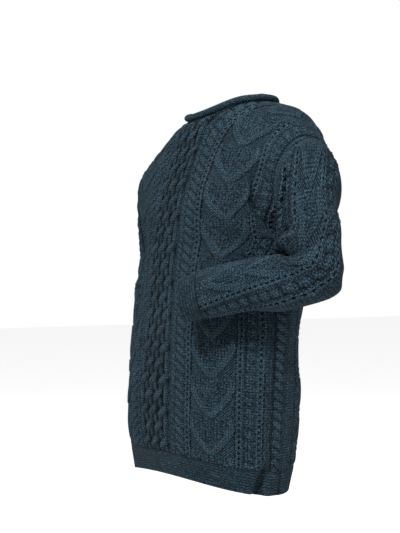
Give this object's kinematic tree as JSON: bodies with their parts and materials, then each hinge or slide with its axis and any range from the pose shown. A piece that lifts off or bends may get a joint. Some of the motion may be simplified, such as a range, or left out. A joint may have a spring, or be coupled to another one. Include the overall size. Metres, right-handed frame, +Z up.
{
  "type": "aran sweater",
  "caption": "Long cable-knit wool sweater with a rolled neck edge, hollow as worn on a general figure, its left arm bent across the front.",
  "frame": {"origin": "midway between the neck ends of the two shoulder seams, where the sweater rests on the wearer's shoulders", "axes": "+Z up, along the body; the front faces -Y, so +X is the wearer's left"},
  "size_m": [0.6602, 0.3453, 0.736],
  "materials": {
    "cabled_wool": "heathered blue-green wool, cabled knit, matt",
    "band_wool": "heathered blue-green wool, fine ridged bands, matt",
    "neck_wool": "heathered blue-green wool, smooth rolled edge, matt"
  },
  "bodies": {
    "root": {"front": "cabled_wool", "back": "cabled_wool", "hem_front": "band_wool", "hem_back": "band_wool", "sleeve_left": "cabled_wool", "sleeve_right": "cabled_wool", "cuff_left": "band_wool", "cuff_right": "band_wool", "neckband": "neck_wool"}
  },
  "joints": []
}
